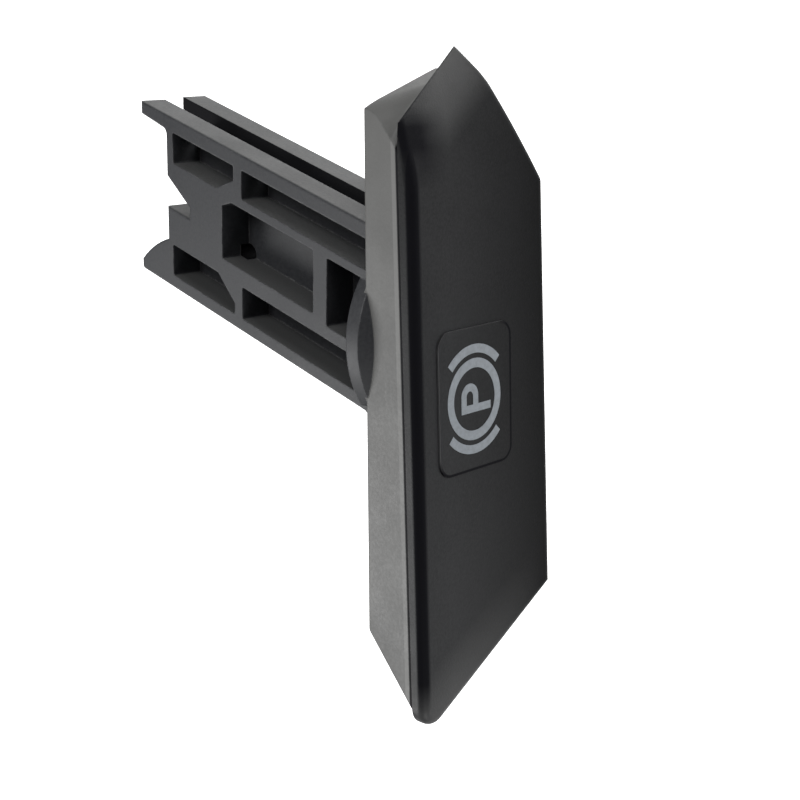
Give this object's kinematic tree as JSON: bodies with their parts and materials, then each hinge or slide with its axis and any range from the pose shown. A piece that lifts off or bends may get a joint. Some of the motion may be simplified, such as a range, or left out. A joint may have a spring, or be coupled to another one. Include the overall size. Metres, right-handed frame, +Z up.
{
  "type": "parking brake release handle",
  "caption": "Plastic pull handle with a ribbed stem raked to one side, a round root disc and a flat five-sided grip with a capped shell, marked with the parking brake sign.",
  "frame": {"origin": "centre of the round root disc, close to the back plane of the grip's shell, where the stem leaves the grip", "axes": "+X to the driver's right along the grip, +Y into the dash, +Z up as mounted; the grip's front faces -Y"},
  "size_m": [0.1049, 0.0679, 0.0346],
  "materials": {
    "body_plastic": "moulded glass-filled plastic with a dull satin surface",
    "cover_plastic": "fine grained moulded plastic, charcoal"
  },
  "bodies": {
    "root": {"handle_body": "body_plastic", "front_cover": "cover_plastic"}
  },
  "joints": []
}
